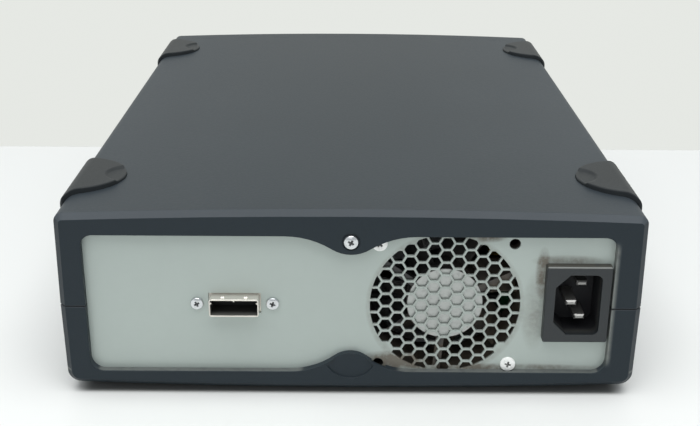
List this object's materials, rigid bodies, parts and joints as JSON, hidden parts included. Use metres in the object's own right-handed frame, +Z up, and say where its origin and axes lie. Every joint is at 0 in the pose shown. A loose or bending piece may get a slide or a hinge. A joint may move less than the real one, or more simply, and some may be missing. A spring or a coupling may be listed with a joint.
{
  "type": "data tape drive",
  "caption": "Desktop data tape drive: dark plastic case with rubber pads, hexagon fan grille, mains inlet and data port behind, cartridge door and loader in front.",
  "frame": {"origin": "on the surface the feet stand on, under the middle of the whole object", "axes": "+X to the right seen from the front, +Y from the front to the rear, +Z up"},
  "size_m": [0.2204, 0.3068, 0.0765],
  "materials": {
    "case_plastic": "fine moulded texture",
    "pad_rubber": "dull",
    "plate_steel": "zinc plated",
    "screw_steel": "zinc plated",
    "screw_black": "black oxide",
    "fan_black": "moulded",
    "label_film": "plain",
    "copper": "enamelled",
    "inlet_black": "moulded",
    "nickel": "bright",
    "port_insert": "moulded",
    "button_grey": "moulded",
    "light_green": "clear",
    "board_green": "solder mask",
    "switch_body": "moulded",
    "cast_metal": "as cast",
    "cover_steel": "zinc plated",
    "drive_plastic": "fine moulded texture",
    "gear_acetal": "acetal",
    "motor_steel": "plain",
    "roller_metal": "turned",
    "tape_yellow": "taped winding",
    "capacitor_film": "sleeve",
    "lead_grey": "jacket"
  },
  "bodies": {
    "case": {"top_shell": "case_plastic", "bottom_shell": "case_plastic", "front_bezel": "case_plastic", "top_pads": "pad_rubber", "bottom_feet": "pad_rubber", "rear_plate": "plate_steel", "chassis_tray": "plate_steel", "drive_rails": "plate_steel", "chassis_screws": "screw_steel", "port_screws": "screw_steel", "drive_screws": "screw_steel", "cover_screws": "screw_steel", "plate_screw": "screw_steel", "fan_screws": "screw_steel", "door_pin": "screw_steel", "door_spring": "screw_steel", "case_screws": "screw_black", "fan_frame": "fan_black", "fan_label": "label_film", "fan_stator": "copper", "inlet_body": "inlet_black", "inlet_pins": "nickel", "port_cage": "nickel", "port_receptacle": "port_insert", "power_light": "light_green", "status_lights": "light_green", "switch_board": "board_green", "drive_board": "board_green", "psu_board": "board_green", "eject_switch": "switch_body", "drive_base": "cast_metal", "psu_heatsink": "cast_metal", "drive_cover": "cover_steel", "guide_brackets": "cover_steel", "gear_stand": "cover_steel", "drive_bezel": "drive_plastic", "load_motor": "motor_steel", "supply_motor": "motor_steel", "takeup_motor": "motor_steel", "roller_posts": "motor_steel", "head_actuator": "motor_steel", "psu_transformer": "tape_yellow", "psu_capacitors": "capacitor_film", "data_cable": "lead_grey", "power_cable": "lead_grey"},
    "fan": {"fan_rotor": "fan_black"},
    "door": {"cartridge_door": "drive_plastic"},
    "eject": {"eject_button": "button_grey"},
    "power": {"power_button": "button_grey"},
    "cams": {"cam_plates": "cover_steel"},
    "cradle": {"cartridge_cradle": "cover_steel"},
    "gear": {"load_gear": "gear_acetal"},
    "pinion": {"motor_pinion": "gear_acetal"},
    "supply": {"supply_chuck": "gear_acetal"},
    "takeup": {"takeup_reel": "gear_acetal"},
    "roller_1": {"guide_roller_1": "roller_metal"},
    "roller_2": {"guide_roller_2": "roller_metal"},
    "roller_3": {"guide_roller_3": "roller_metal"},
    "roller_4": {"guide_roller_4": "roller_metal"},
    "head": {"tape_head": "motor_steel"}
  },
  "joints": [
    {"name": "fan_spin", "type": "hinge", "parent": "case", "child": "fan", "pos_m": [-0.0356, 0.138, 0.0373], "axis": [0, 1, 0], "continuous": true},
    {"name": "door_hinge", "type": "hinge", "parent": "case", "child": "door", "pos_m": [0.022, -0.1487, 0.055], "axis": [1, 0, 0], "range_deg": [0, 85], "stiffness_Nm_per_rad": 0.002},
    {"name": "eject_press", "type": "slide", "parent": "case", "child": "eject", "axis": [0, 1, 0], "range_m": [0, 0.0009], "stiffness_N_per_m": 400},
    {"name": "power_press", "type": "slide", "parent": "case", "child": "power", "axis": [0, 1, 0], "range_m": [0, 0.0012], "stiffness_N_per_m": 400},
    {"name": "cam_slide", "type": "slide", "parent": "case", "child": "cams", "axis": [0, 1, 0], "range_m": [0, 0.0125]},
    {"name": "cradle_lift", "type": "slide", "parent": "case", "child": "cradle", "axis": [0, 0, -1], "range_m": [0, 0.005]},
    {"name": "load_gear_turn", "type": "hinge", "parent": "case", "child": "gear", "pos_m": [-0.038, -0.0104, 0.0316], "axis": [1, 0, 0], "range_deg": [0, 112]},
    {"name": "motor_pinion_turn", "type": "hinge", "parent": "case", "child": "pinion", "pos_m": [-0.04, -0.00465, 0.04156], "axis": [-1, 0, 0], "range_deg": [0, 314]},
    {"name": "supply_spin", "type": "hinge", "parent": "case", "child": "supply", "pos_m": [0.022, -0.0769, 0.0252], "axis": [0, 0, 1], "continuous": true},
    {"name": "takeup_spin", "type": "hinge", "parent": "case", "child": "takeup", "pos_m": [0.048, 0.0136, 0.0322], "axis": [0, 0, 1], "continuous": true},
    {"name": "roller_1_spin", "type": "hinge", "parent": "case", "child": "roller_1", "pos_m": [-0.006, -0.0174, 0.0342], "axis": [0, 0, 1], "continuous": true},
    {"name": "roller_2_spin", "type": "hinge", "parent": "case", "child": "roller_2", "pos_m": [-0.02, -0.0054, 0.0342], "axis": [0, 0, 1], "continuous": true},
    {"name": "roller_3_spin", "type": "hinge", "parent": "case", "child": "roller_3", "pos_m": [-0.02, 0.0326, 0.0342], "axis": [0, 0, 1], "continuous": true},
    {"name": "roller_4_spin", "type": "hinge", "parent": "case", "child": "roller_4", "pos_m": [-0.006, 0.0446, 0.0342], "axis": [0, 0, 1], "continuous": true},
    {"name": "head_shift", "type": "slide", "parent": "case", "child": "head", "axis": [0, 0, 1], "range_m": [-0.0012, 0.0012]}
  ],
  "couplings": [
    {"joint": "cradle_lift", "follows": "cam_slide", "ratio": 0.4},
    {"joint": "load_gear_turn", "follows": "cam_slide", "rad_per_m": 156.25},
    {"joint": "motor_pinion_turn", "follows": "cam_slide", "rad_per_m": 437.5}
  ]
}
